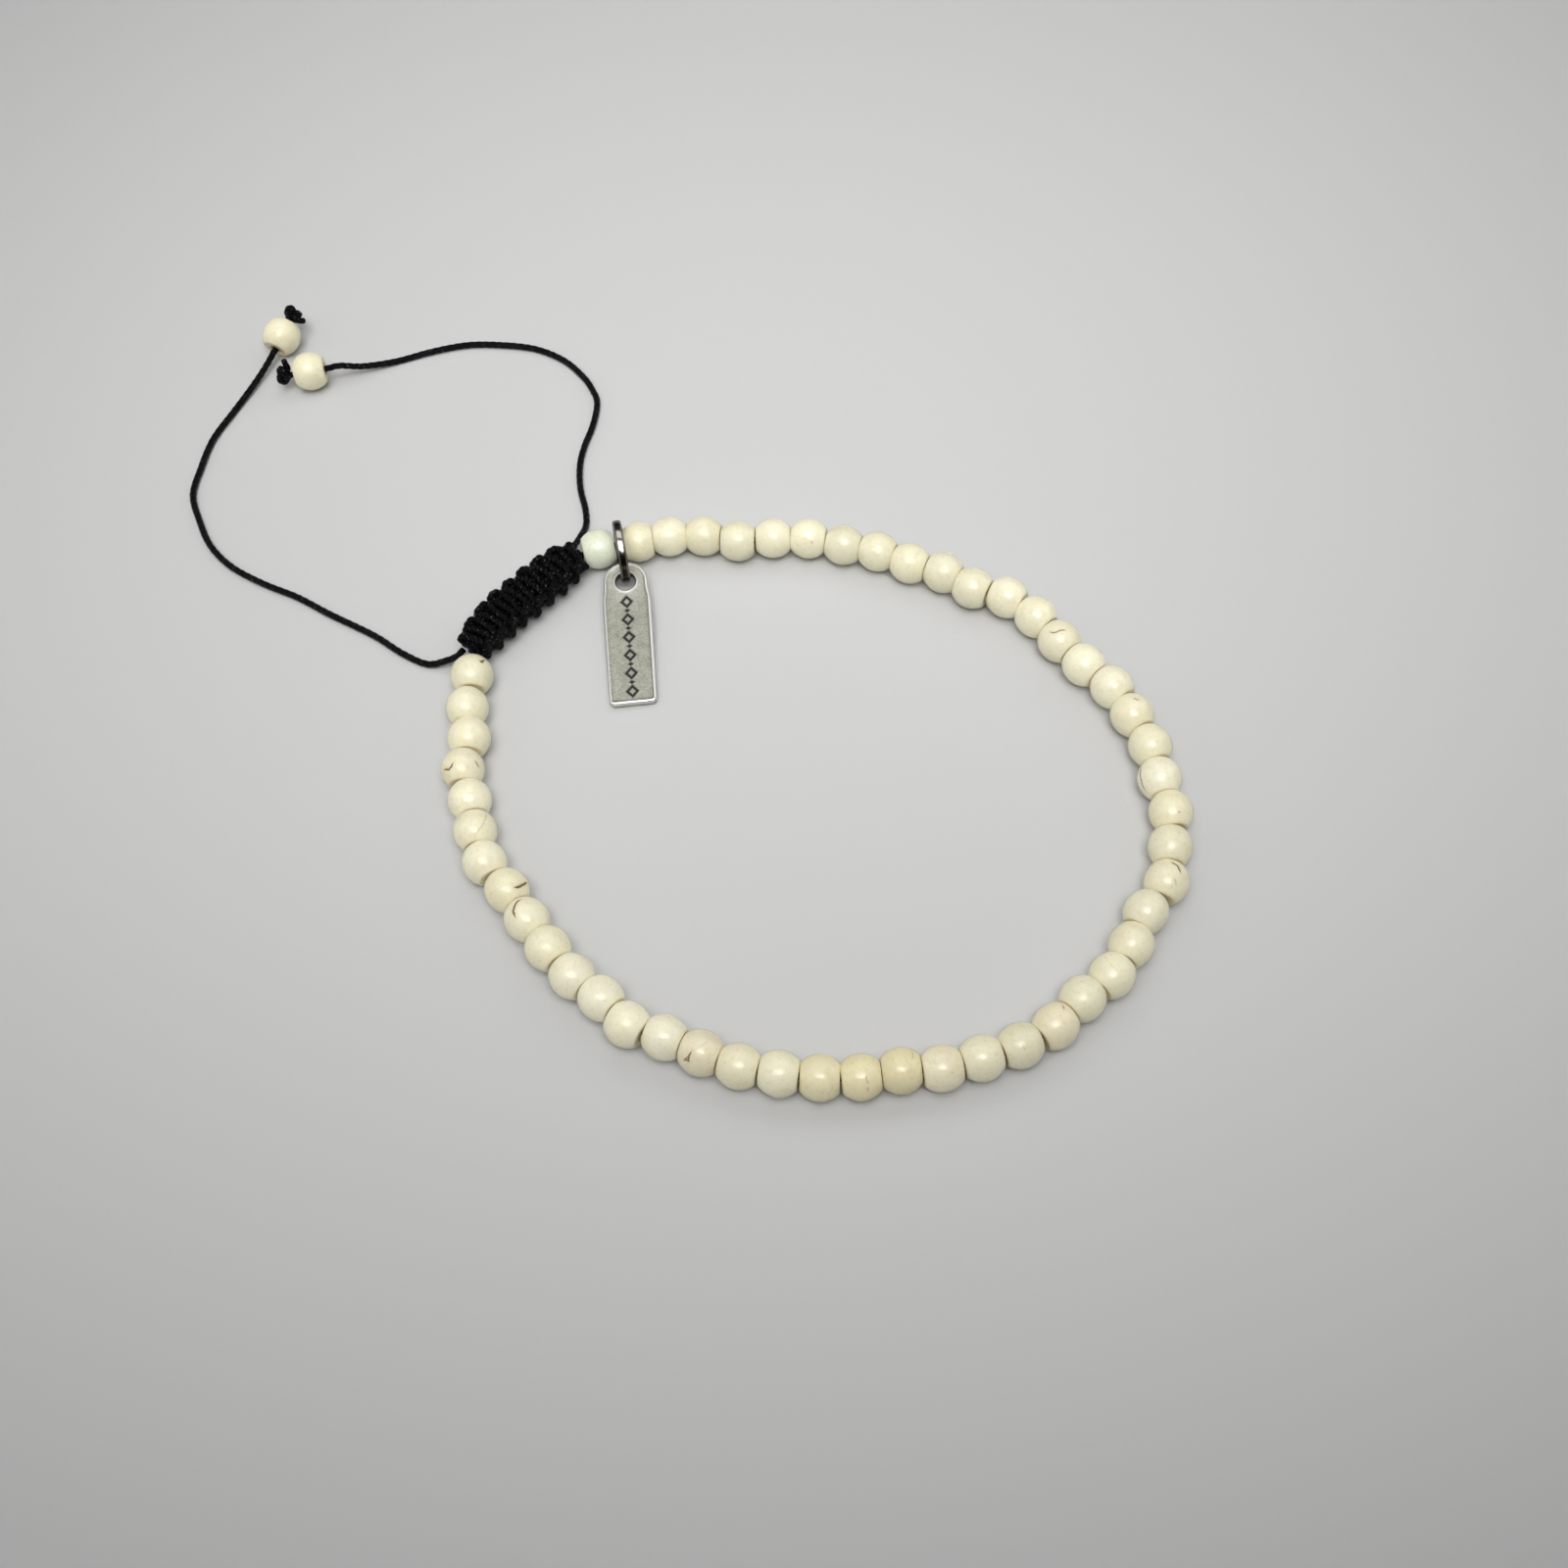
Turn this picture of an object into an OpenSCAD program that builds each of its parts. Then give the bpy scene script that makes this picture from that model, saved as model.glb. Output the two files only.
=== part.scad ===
// Adjustable stone-bead bracelet: one loop of barrel beads on a waxed cord,
// closed by a knotted sliding sleeve, with two drawcord tails that each end in
// a bead and a stopper knot, and a flat metal tag on a jump ring.
// Millimetres, +Z up. The bracelet lies on the plane z = 0. The origin is on
// that plane, under the middle of the loop.

/* [Beads] */
// Diameter of a bead
bead_d = 4.1; // [3.9:0.05:4.15]
// Length of a bead along its hole
bead_len = 3.3; // [3:0.05:3.35]
// Length of the first bead, between the sleeve and the jump ring
first_len = 3.2; // [3:0.05:3.2]
// Length of the second bead, on the jump ring's other side
second_len = 2.7; // [2.6:0.05:2.75]
// Distance from bead to bead along the loop
bead_pitch = 3.51; // [3.48:0.01:3.51]
// Radius of the curve that a bead's side follows along its length
barrel_r = 2.25; // [2.1:0.05:2.6]
// Diameter of the drilled hole in the end beads
bore_d = 1.1; // [1:0.05:1.4]

/* [Cord] */
// Diameter of the waxed cord
cord_d = 0.7; // [0.6:0.05:0.75]
// Diameter of a stopper knot
knot_d = 2; // [1.8:0.1:2.2]

/* [Slide] */
// Greatest width of the knotted sleeve
slide_w = 5.2; // [4.8:0.1:5.3]
// Greatest height of the knotted sleeve
slide_h = 3.8; // [3.4:0.1:4]

/* [Tag] */
// Length of the tag
tag_len = 15.4; // [15:0.1:17]
// Greatest width of the tag, at its shoulders
tag_w = 4.75; // [4.6:0.05:5]
// Width of the tag at its square end
tag_end_w = 4.6; // [4.4:0.05:4.75]
// Width of the rounded head round the hole
tag_head_w = 4.4; // [4.2:0.1:4.5]
// Thickness of the tag
tag_t = 0.8; // [0.7:0.05:0.8]
// Diameter of the hole in the tag
tag_hole_d = 2.05; // [2.05:0.05:2.3]
// Distance from the tag's top edge to the centre of its hole
tag_hole_in = 1.75; // [1.7:0.05:1.85]
// Height by which the face lies below the tag's rim
rim_h = 0.08; // [0.05:0.01:0.15]
// Width of the tag's rim
rim_w = 0.3; // [0.2:0.05:0.45]
// Depth of the engraved ornament in the face
engrave = 0.12; // [0.05:0.01:0.2]

/* [Jump ring] */
// Thickness of the ring's flattened wire, from its inside to its outside
ring_wire = 0.6; // [0.5:0.05:0.6]
// Width of the ring's flattened wire, along the thread
ring_band = 0.92; // [0.7:0.01:0.92]
// Diameter of the circle along the middle of the wire
ring_mid_d = 5.75; // [5.75:0.05:5.85]
// Space left for the ring between the first two beads
ring_gap = 1.1; // [1.1:0.01:1.15]

/* [Hidden] */

$fn = 48;
bead_r = bead_d / 2;
cord_r = cord_d / 2;
small = 0.03;         // gap between pieces that touch on the real bracelet
bead_count = 51;
stone = [0.93, 0.90, 0.80];
waxed = [0.05, 0.05, 0.05];
silver = [0.70, 0.70, 0.66];
gunmetal = [0.30, 0.29, 0.28];

// The line that the bead thread follows: [x, y], clockwise seen from above,
// from the sleeve's right end round to its left end.
LOOP = [[-21, 28.5], [-13, 29.5], [-5, 28.5], [8.5, 25.5], [20.5, 18],
        [29, 7], [32.5, -6.5], [27, -19.5], [16, -27.5], [2, -29.5],
        [-12, -26], [-22.5, -17.5], [-30, -6], [-32, 4], [-32, 15], [-32, 17]];

// Beads that stand out of that line: [bead number, distance outwards]
SWAY = [[1, -0.2], [2, -0.35], [3, -0.1], [5, -0.4], [6, 0.2], [7, 0.4],
        [10, -0.3], [12, -0.3], [13, 0.6], [14, 0.5], [15, -0.1], [16, -0.2],
        [17, 0.4], [18, 0.3], [19, 0.2], [20, -0.3], [23, 0.3], [24, -0.5],
        [25, -0.3], [27, -0.3], [28, 0.2], [29, 0.2], [32, -0.4], [33, -0.1],
        [37, -0.2], [38, -0.2], [39, 0.5], [41, 0.2], [43, -0.2], [44, -0.3],
        [45, 0.2], [48, 0.4], [49, -0.3], [51, -0.3]];

// Where the string is looser or tighter: [bead number, distance moved along
// the loop], with the beads between two of these spread evenly
SPREAD = [[3, 0.12], [6, 0.08], [8, 0.24], [11, 0.27], [13, 0.05], [18, 0.05],
          [22, 0.34], [25, 0.4], [28, 0.27], [31, 0.25], [34, 0.1], [38, 0.1],
          [41, -0.22], [43, -0.2], [45, 0], [50, -0.5], [51, -0.35]];

// Five solids of beads: [first bead, last bead]
STRANDS = [[1, 10], [11, 20], [21, 30], [31, 40], [41, 51]];

// The knotted sleeve: [x, y, width, height] as shares of slide_w and slide_h
SLEEVE = [[-31.6, 17.65, 0.63, 0.80], [-31.0, 18.8, 0.83, 0.94],
          [-29.2, 21.0, 0.96, 1.00], [-26.8, 23.3, 1.00, 1.00],
          [-24.5, 25.3, 1.00, 1.00], [-22.6, 26.9, 0.88, 0.95],
          [-21.3, 27.7, 0.65, 0.80]];

// End beads: [x, y, direction of the hole towards the knot, slope up to the knot]
END_LEFT = [-53.5, 61.5, 63, 15];
END_RIGHT = [-50, 56, 185, 0];

// Routes of the two tails, from the sleeve to where each rises to its bead
TAIL_LEFT = [[-32.6, 17.75, 1.6], [-33.3, 17.4, 1.1], [-34.5, 17.3, 0.6],
             [-36.5, 17.5, 0], [-39, 19, 0], [-42, 21.5, 0], [-46.5, 24.5, 0],
             [-50, 27, 0], [-53.5, 29, 0], [-57, 31.5, 0], [-59.5, 34.5, 0],
             [-61, 38, 0], [-62, 41.5, 0], [-61.5, 45, 0], [-60.5, 49, 0],
             [-58.4, 53, 0], [-56.4, 56.4, 0.3], [-55.15, 58.5, 0.75]];
TAIL_RIGHT = [[-21.6, 28.8, 1.7], [-21.5, 29.5, 1.4], [-21, 31, 0.8],
              [-20.5, 33, 0], [-20.5, 35, 0], [-21, 38, 0], [-21, 41, 0],
              [-20.5, 43.5, 0], [-19.5, 46.5, 0], [-19, 49.5, 0],
              [-19.5, 51.5, 0], [-20.5, 53.5, 0], [-22.5, 56, 0],
              [-25.5, 58, 0], [-29, 59, 0], [-33, 59.5, 0], [-37, 59, 0],
              [-41, 58, 0], [-44.5, 57, 0.7], [-46.8, 56.5, 1.6]];

// ---- curves ---------------------------------------------------------------

// Point at t between b and c of a smooth curve through a, b, c and d
function smooth(a, b, c, d, t) =
    0.5 * (2 * b + (c - a) * t + (2 * a - 5 * b + 4 * c - d) * t * t
           + (3 * b - a - 3 * c + d) * t * t * t);

// A row of points P made into a smooth curve of n steps for each stretch
function curve(P, n) = let (m = len(P) - 1)
    concat([for (i = [0:m - 1], k = [0:n - 1])
                smooth(i == 0 ? 2 * P[0] - P[1] : P[i - 1], P[i], P[i + 1],
                       i == m - 1 ? 2 * P[m] - P[m - 1] : P[i + 2], k / n)],
           [P[m]]);

// Distance along a row of points, at each point
function run(Q) = [for (i = 0, s = 0; i < len(Q);
                        s = s + (i + 1 < len(Q) ? norm(Q[i + 1] - Q[i]) : 0),
                        i = i + 1) s];

// One coordinate of a row of points against the distance along it
function against(Q, axis) = let (s = run(Q))
    [for (i = [0:len(Q) - 1]) [s[i], Q[i][axis]]];

loop_pts = curve(LOOP, 10);
loop_x = against(loop_pts, 0);
loop_y = against(loop_pts, 1);
function on_loop(s) = [lookup(s, loop_x), lookup(s, loop_y)];
function heading(s) = let (d = on_loop(s + 1) - on_loop(s - 1)) atan2(d[1], d[0]);

// ---- beads ----------------------------------------------------------------

third_s = 9.15;       // where the third bead sits along the loop
second_s = third_s - bead_pitch / 2 - 0.05 - second_len / 2;
ring_s = second_s - second_len / 2 - ring_gap / 2;
first_s = ring_s - ring_gap / 2 - first_len / 2;

function bead_s(i) = i == 1 ? first_s : i == 2 ? second_s
                   : third_s + (i - 3) * bead_pitch + lookup(i, SPREAD);
function sway(i) = let (k = search(i, SWAY)) len(k) > 0 ? SWAY[k[0]][1] : 0;
function bead_at(i) = let (s = bead_s(i), h = heading(s))
    on_loop(s) + sway(i) * [-sin(h), cos(h)];

// Half of a bead's outline: a flat-ended barrel in narrow bands, with a hole if
// one is given
bands = 12;
module bead_outline(length, hole) {
    steep = asin(length / 2 / barrel_r);
    polygon(concat([[hole / 2, -length / 2]],
        [for (k = [0:bands]) let (a = steep * (2 * k / bands - 1))
            [barrel_r * cos(a) - barrel_r + bead_r, barrel_r * sin(a)]],
        [[hole / 2, length / 2]]));
}

// Direction of a bead's hole: the way from the bead before to the one after
function bead_dir(i) = i < 3 || i == bead_count ? heading(bead_s(i))
    : let (d = bead_at(i + 1) - bead_at(i - 1)) atan2(d[1], d[0]);

// A bead with its hole along the direction h in the plane, rising at a slope
module bead(length, h, hole = 0, slope = 0) {
    rotate([0, 90 - slope, h]) rotate_extrude() bead_outline(length, hole);
}

// The stretch of thread that shows between the beads at a and b, at the height
// of their holes. It ends inside each of them, short of its middle.
module thread(a, b, ends = 0.6) {
    d = b - a;
    u = d / norm(d);
    p = a + 0.6 * u;
    translate([p[0], p[1], bead_r]) rotate([0, 90, atan2(d[1], d[0])])
        cylinder(h = norm(d) - 0.6 - ends, r = cord_r, $fn = 32);
}

module strand(k) {
    a = STRANDS[k][0];
    b = STRANDS[k][1];
    color(stone) union() {
        for (i = [a:b])
            translate([bead_at(i)[0], bead_at(i)[1], bead_r])
                bead(i == 1 ? first_len : i == 2 ? second_len : bead_len, bead_dir(i));
        for (i = [a:b - 1]) thread(bead_at(i), bead_at(i + 1));
        if (a == 1) thread(bead_at(1), slide_end(len(SLEEVE) - 1, 0.15), 0);
        if (b == bead_count) thread(bead_at(b), slide_end(0, 0.2), 0);
    }
}

// ---- knotted sleeve -------------------------------------------------------

sleeve_pts = curve([for (p = SLEEVE) [p[0], p[1], p[2] * slide_w, p[3] * slide_h]], 3);
function sleeve_dir(i) =
    let (a = sleeve_pts[max(0, i - 1)], b = sleeve_pts[min(len(sleeve_pts) - 1, i + 1)],
         d = [b[0] - a[0], b[1] - a[1]]) d / norm(d);
// A point just outside the middle of one end of the sleeve
function slide_end(k, out) = let (i = k == 0 ? 0 : len(sleeve_pts) - 1,
    d = sleeve_dir(i) * (k == 0 ? -out : out))
    [sleeve_pts[i][0] + d[0], sleeve_pts[i][1] + d[1]];

// Rounded section of the sleeve, flat underneath where it rests
sides = 20;
function section(w, h) = [for (k = [0:sides - 1]) let (a = 360 * (k + 0.5) / sides,
    c = cos(a), s = sin(a))
    [w / 2 * sign(c) * pow(abs(c), 0.8), h / 2 * sign(s) * pow(abs(s), 0.8)]];

// A closed skin over rings of points that each have n points
module skin(rings, n) {
    m = len(rings);
    polyhedron(
        points = [for (r = rings) each r],
        faces = concat(
            [[for (k = [n - 1:-1:0]) k]],
            [for (j = [0:m - 2], k = [0:n - 1]) let (l = (k + 1) % n)
                [j * n + k, j * n + l, (j + 1) * n + l, (j + 1) * n + k]],
            [[for (k = [0:n - 1]) (m - 1) * n + k]]));
}

module macrame_slide() {
    color(waxed) skin([for (i = [0:len(sleeve_pts) - 1]) let (
        p = sleeve_pts[i], d = sleeve_dir(i), low = slide_h / 2 - p[3] / 2)
        [for (q = section(p[2], p[3]))
            [p[0] + q[0] * d[1], p[1] - q[0] * d[0],
             slide_h / 2 + q[1] - low * 0.6]]], sides);
}

// ---- tails ----------------------------------------------------------------

// A point of the tail at the height z of its lowest side, as its middle
function lift(p) = [p[0], p[1], p[2] + cord_r + small];
// Height of the middle of an end bead that rests on the plane at its slope
function rest(e) = barrel_r + (bead_r - barrel_r) * cos(e[3]);
// Point on the line of an end bead's hole at the distance t beyond its middle
function beyond(e, t) = [e[0] + t * cos(e[3]) * cos(e[2]),
                         e[1] + t * cos(e[3]) * sin(e[2]), rest(e) + t * sin(e[3])];
// Points through an end bead: its near end, its middle and its far end
function through(e, extra) =
    [for (t = [-bead_len / 2, 0, bead_len / 2 + extra]) beyond(e, t)];

tail_sides = 8;
// A cord of round section along the points Q
module cord(Q) {
    m = len(Q) - 1;
    skin([for (i = [0:m]) let (
        d = (Q[min(m, i + 1)] - Q[max(0, i - 1)]), t = d / norm(d),
        side = [t[1], -t[0], 0] / norm([t[1], -t[0], 0]), up = cross(side, t))
        [for (k = [0:tail_sides - 1]) let (a = 360 * (k + 0.5) / tail_sides)
            Q[i] + cord_r * (cos(a) * side + sin(a) * up)]], tail_sides);
}

// The same curve with points an even distance apart
function even(Q, step) = let (s = run(Q), L = s[len(s) - 1], n = round(L / step),
    x = against(Q, 0), y = against(Q, 1), z = against(Q, 2))
    [for (i = [0:n]) let (u = i * L / n) [lookup(u, x), lookup(u, y), lookup(u, z)]];

module tail(P, e) {
    color(waxed) cord(even(curve(concat([for (p = P) lift(p)], through(e, 0.1)), 8), 1.75));
}
module tail_left() { tail(TAIL_LEFT, END_LEFT); }
module tail_right() { tail(TAIL_RIGHT, END_RIGHT); }

module end_bead(e) {
    color(stone) translate(beyond(e, 0)) bead(bead_len, e[2], bore_d, e[3]);
}
module end_bead_left() { end_bead(END_LEFT); }
module end_bead_right() { end_bead(END_RIGHT); }

// A round stopper knot with the cut end of the cord, behind an end bead
module end_knot(e, turn) {
    far = bead_len / 2 + 0.13 + knot_d / 2;
    color(waxed) translate(beyond(e, far)) {
        sphere(d = knot_d);
        rotate([0, 90 + 35, e[2] + turn]) cylinder(h = knot_d / 2 + 1.0, r = cord_r, $fn = 32);
    }
}
module end_knot_left() { end_knot(END_LEFT, -20); }
module end_knot_right() { end_knot(END_RIGHT, -50); }

// ---- jump ring ------------------------------------------------------------

ring_h = heading(ring_s);
ring_p = on_loop(ring_s) + sway(1) * [-sin(ring_h), cos(ring_h)];
inward = [sin(ring_h), -cos(ring_h)];
ring_out_r = (ring_mid_d + ring_wire) / 2;
ring_in_r = (ring_mid_d - ring_wire) / 2;
ring_z = ring_out_r + small;
// The ring hangs on the thread: its inside just clears the thread's far side
ring_in = sqrt(pow(ring_in_r - cord_r - small, 2) - pow(ring_z - bead_r, 2));

ring_lean = 2;        // the ring's top leans towards the second bead
ring_turn = 2;        // its inner side turns towards the first bead
ring_sides = 20;

// Section of the flattened wire: a flat band with fully rounded edges
module wire_section() {
    polygon([for (k = [0:ring_sides - 1]) let (a = 360 * (k + 0.5) / ring_sides)
        [ring_mid_d / 2 + ring_wire / 2 * cos(a),
         ring_wire / 2 * sin(a) + sign(sin(a)) * (ring_band - ring_wire) / 2]]);
}

module jump_ring() {
    color(gunmetal) translate([ring_p[0], ring_p[1], bead_r])
        rotate(a = -ring_lean, v = [inward[0], inward[1], 0])
            translate([sin(ring_h - ring_turn) * ring_in, -cos(ring_h - ring_turn) * ring_in, ring_z - bead_r])
                rotate([0, 90, ring_h - ring_turn]) rotate_extrude($fn = 96) wire_section();
}

// ---- tag ------------------------------------------------------------------

tag_tilt = 5.5;       // slope up to the ring
tag_turn = 0.95;      // turn in the plane
tag_reach = 4.62;     // from the thread to the hole, inwards
tag_aside = 0.25;     // how far the hole lies off the gap's middle
tag_far = tag_len - tag_hole_in;

// Outline of the tag, its bottom edge on the X axis, less a margin all round
module tag_outline(less) {
    w = tag_w / 2 - less;
    e = tag_end_w / 2 - less;
    h = tag_head_w / 2 - less;
    c = 0.5;
    union() {
        intersection() {
            translate([0, tag_far]) circle(r = h, $fn = 96);
            translate([-w - 1, 0]) square([2 * w + 2, tag_len - less]);
        }
        polygon([[-e + c, less], [e - c, less], [e - 0.15, less + 0.15], [e, less + c],
                 [w, tag_far - 2.2], [w * 0.975, tag_far - 1.5], [h, tag_far - 0.8], [h, tag_far],
                 [-h, tag_far], [-h, tag_far - 0.8], [-w * 0.975, tag_far - 1.5], [-w, tag_far - 2.2],
                 [-e, less + c], [-e + 0.15, less + 0.15]]);
    }
}

module diamond(w, h) {
    polygon([[w, 0], [0, h], [-w, 0], [0, -h]]);
}

// Engraved ornament down the middle of the face: a row of open diamonds with
// small solid ones between
module ornament() {
    n = 6;
    gap = 2;
    for (k = [0:n - 1]) translate([0, 1.3 + gap * k]) {
        difference() {
            diamond(0.66, 0.74);
            diamond(0.32, 0.35);
        }
        if (k < n - 1) translate([0, gap / 2]) diamond(0.30, 0.22);
    }
}

module tag() {
    p = ring_p + inward * tag_reach - tag_aside * [cos(ring_h), sin(ring_h)];
    color(silver) translate([p[0], p[1], small]) rotate([0, 0, tag_turn])
        translate([0, -tag_far * cos(tag_tilt), 0]) rotate([tag_tilt, 0, 0])
            difference() {
                linear_extrude(tag_t) tag_outline(0);
                translate([0, 0, tag_t - rim_h]) linear_extrude(1)
                    difference() {
                        tag_outline(rim_w);
                        translate([0, tag_far]) circle(d = tag_hole_d + 0.7);
                    }
                translate([0, 0, tag_t - rim_h - engrave]) linear_extrude(1) ornament();
                translate([0, tag_far, -1]) cylinder(h = 3, d = tag_hole_d);
            }
}

strand(0);  // bead_strand_a
strand(1);  // bead_strand_b
strand(2);  // bead_strand_c
strand(3);  // bead_strand_d
strand(4);  // bead_strand_e
macrame_slide();
tail_left();
tail_right();
end_bead_left();
end_bead_right();
end_knot_left();
end_knot_right();
jump_ring();
tag();
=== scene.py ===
import math
import random

import bpy
import numpy as np
from mathutils import Matrix, Vector
from mathutils.geometry import delaunay_2d_cdt


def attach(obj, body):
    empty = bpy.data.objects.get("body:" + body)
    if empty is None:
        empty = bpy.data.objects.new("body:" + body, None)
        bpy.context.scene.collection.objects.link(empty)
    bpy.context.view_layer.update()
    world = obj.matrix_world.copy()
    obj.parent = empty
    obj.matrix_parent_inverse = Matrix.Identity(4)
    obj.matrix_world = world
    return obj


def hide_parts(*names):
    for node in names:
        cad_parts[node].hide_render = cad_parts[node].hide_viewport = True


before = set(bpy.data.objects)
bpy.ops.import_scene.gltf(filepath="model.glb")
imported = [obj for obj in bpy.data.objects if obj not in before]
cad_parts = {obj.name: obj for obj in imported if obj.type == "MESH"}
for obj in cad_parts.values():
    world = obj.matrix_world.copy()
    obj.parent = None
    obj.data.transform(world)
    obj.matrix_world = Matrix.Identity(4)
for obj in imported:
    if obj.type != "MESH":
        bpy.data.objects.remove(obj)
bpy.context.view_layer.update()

MM = 0.001
scene = bpy.context.scene


# ---- camera ----------------------------------------------------------------

ELEVATION = math.radians(60.62)
ROLL = math.radians(4.859)
EYE = np.array([-2.403, -78.977, 141.592])
ahead = np.array([0, math.cos(ELEVATION), -math.sin(ELEVATION)])
flat_right = np.array([1.0, 0, 0])
flat_down = np.array([0, -math.sin(ELEVATION), -math.cos(ELEVATION)])
right = math.cos(ROLL) * flat_right + math.sin(ROLL) * flat_down
down = -math.sin(ROLL) * flat_right + math.cos(ROLL) * flat_down
cam_data = bpy.data.cameras.new("camera")
cam_data.sensor_width = 36.0
cam_data.lens = 36.0 * 1760 / 1600
cam_data.clip_start = 0.005
cam_data.clip_end = 20.0
cam = bpy.data.objects.new("camera", cam_data)
scene.collection.objects.link(cam)
turn = Matrix.Identity(4)
for row in range(3):
    turn[row][0], turn[row][1], turn[row][2] = right[row], -down[row], -ahead[row]
    turn[row][3] = EYE[row] * MM
cam.matrix_world = turn
scene.camera = cam


# ---- curves, as the part's own source has them -------------------------------

def smooth(a, b, c, d, t):
    a, b, c, d = (np.asarray(v, float) for v in (a, b, c, d))
    return 0.5 * (2 * b + (c - a) * t + (2 * a - 5 * b + 4 * c - d) * t * t
                  + (3 * b - a - 3 * c + d) * t * t * t)


def curve(P, n):
    P = [np.asarray(p, float) for p in P]
    m = len(P) - 1
    out = []
    for i in range(m):
        before = 2 * P[0] - P[1] if i == 0 else P[i - 1]
        after = 2 * P[m] - P[m - 1] if i == m - 1 else P[i + 2]
        out += [smooth(before, P[i], P[i + 1], after, k / n) for k in range(n)]
    return np.array(out + [P[m]])


def run(Q):
    return np.concatenate([[0], np.cumsum(np.linalg.norm(np.diff(Q, axis=0), axis=1))])


def at(Q, s, u):
    u = np.asarray(u, float)
    return np.stack([np.interp(u, s, Q[:, k]) for k in range(Q.shape[1])], -1)


def even(Q, step):
    s = run(Q)
    n = max(1, round(s[-1] / step))
    return at(Q, s, np.linspace(0, s[-1], n + 1))


BEAD_R, BEAD_LEN, PITCH, BARREL_R = 2.05, 3.48, 3.51, 2.25
FIRST_LEN, SECOND_LEN, RING_GAP = 3.2, 2.7, 1.1
CORD_R = 0.35
SMALL = 0.03
COUNT = 51
LOOP = [(-21, 28.5), (-13, 29.5), (-5, 28.5), (8.5, 25.5), (20.5, 18),
        (29, 7), (32.5, -6.5), (27, -19.5), (16, -27.5), (2, -29.5),
        (-12, -26), (-22.5, -17.5), (-30, -6), (-32, 4), (-32, 15), (-32, 17)]
SWAY = {1: -.2, 2: -.35, 3: -.1, 5: -.4, 6: .2, 7: .4, 10: -.3, 12: -.3, 13: .6,
        14: .5, 15: -.1, 16: -.2, 17: .4, 18: .3, 19: .2, 20: -.3, 23: .3, 24: -.5,
        25: -.3, 27: -.3, 28: .2, 29: .2, 32: -.4, 33: -.1, 37: -.2, 38: -.2,
        39: .5, 41: .2, 43: -.2, 44: -.3, 45: .2, 48: .4, 49: -.3, 51: -.3}
SPREAD = [(3, .12), (6, .08), (8, .24), (11, .27), (13, .05), (18, .05), (22, .34),
          (25, .4), (28, .27), (31, .25), (34, .1), (38, .1), (41, -.22), (43, -.2),
          (45, 0), (50, -.5), (51, -.35)]
STRANDS = {"a": (1, 10), "b": (11, 20), "c": (21, 30), "d": (31, 40), "e": (41, 51)}
SLEEVE = [(-31.6, 17.65, .63), (-31.0, 18.8, .83), (-29.2, 21.0, .96), (-26.8, 23.3, 1),
          (-24.5, 25.3, 1), (-22.6, 26.9, .88), (-21.3, 27.7, .65)]
END_LEFT = (-53.5, 61.5, 63, 15)
END_RIGHT = (-50, 56, 185, 0)
TAIL_LEFT = [(-32.6, 17.75, 1.6), (-33.3, 17.4, 1.1), (-34.5, 17.3, 0.6),
             (-36.5, 17.5, 0), (-39, 19, 0), (-42, 21.5, 0), (-46.5, 24.5, 0),
             (-50, 27, 0), (-53.5, 29, 0), (-57, 31.5, 0), (-59.5, 34.5, 0),
             (-61, 38, 0), (-62, 41.5, 0), (-61.5, 45, 0), (-60.5, 49, 0),
             (-58.4, 53, 0), (-56.4, 56.4, 0.3), (-55.15, 58.5, 0.75)]
TAIL_RIGHT = [(-21.6, 28.8, 1.7), (-21.5, 29.5, 1.4), (-21, 31, 0.8),
              (-20.5, 33, 0), (-20.5, 35, 0), (-21, 38, 0), (-21, 41, 0),
              (-20.5, 43.5, 0), (-19.5, 46.5, 0), (-19, 49.5, 0),
              (-19.5, 51.5, 0), (-20.5, 53.5, 0), (-22.5, 56, 0),
              (-25.5, 58, 0), (-29, 59, 0), (-33, 59.5, 0), (-37, 59, 0),
              (-41, 58, 0), (-44.5, 57, 0.7), (-46.8, 56.5, 1.6)]

loop_pts = curve(LOOP, 10)
loop_s = run(loop_pts)


def on_loop(s):
    return at(loop_pts, loop_s, s)


def heading(s):
    d = on_loop(s + 1) - on_loop(s - 1)
    return math.atan2(d[1], d[0])


third_s = 9.15
second_s = third_s - PITCH / 2 - 0.05 - SECOND_LEN / 2
ring_s = second_s - SECOND_LEN / 2 - RING_GAP / 2
first_s = ring_s - RING_GAP / 2 - FIRST_LEN / 2


def bead_s(i):
    if i < 3:
        return first_s if i == 1 else second_s
    return third_s + (i - 3) * PITCH + float(np.interp(i, *zip(*SPREAD)))


def bead_at(i):
    s = bead_s(i)
    h = heading(s)
    return on_loop(s) + SWAY.get(i, 0) * np.array([-math.sin(h), math.cos(h)])


def bead_dir(i):
    if i < 3 or i == COUNT:
        return heading(bead_s(i))
    d = bead_at(i + 1) - bead_at(i - 1)
    return math.atan2(d[1], d[0])


def beyond(end, t):
    """Point on the line of an end bead's hole, t beyond the bead's middle."""
    x, y, deg, slope = end
    h, k = math.radians(deg), math.radians(slope)
    return np.array([x + t * math.cos(k) * math.cos(h), y + t * math.cos(k) * math.sin(h),
                     BARREL_R + (BEAD_R - BARREL_R) * math.cos(k) + t * math.sin(k)])


def tail_route(P, end):
    inside = [tuple(beyond(end, t)) for t in (-1.65, 0, 1.75)]
    return curve([(p[0], p[1], p[2] + CORD_R + SMALL) for p in P] + inside, 8)


# ---- meshes ------------------------------------------------------------------

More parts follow.
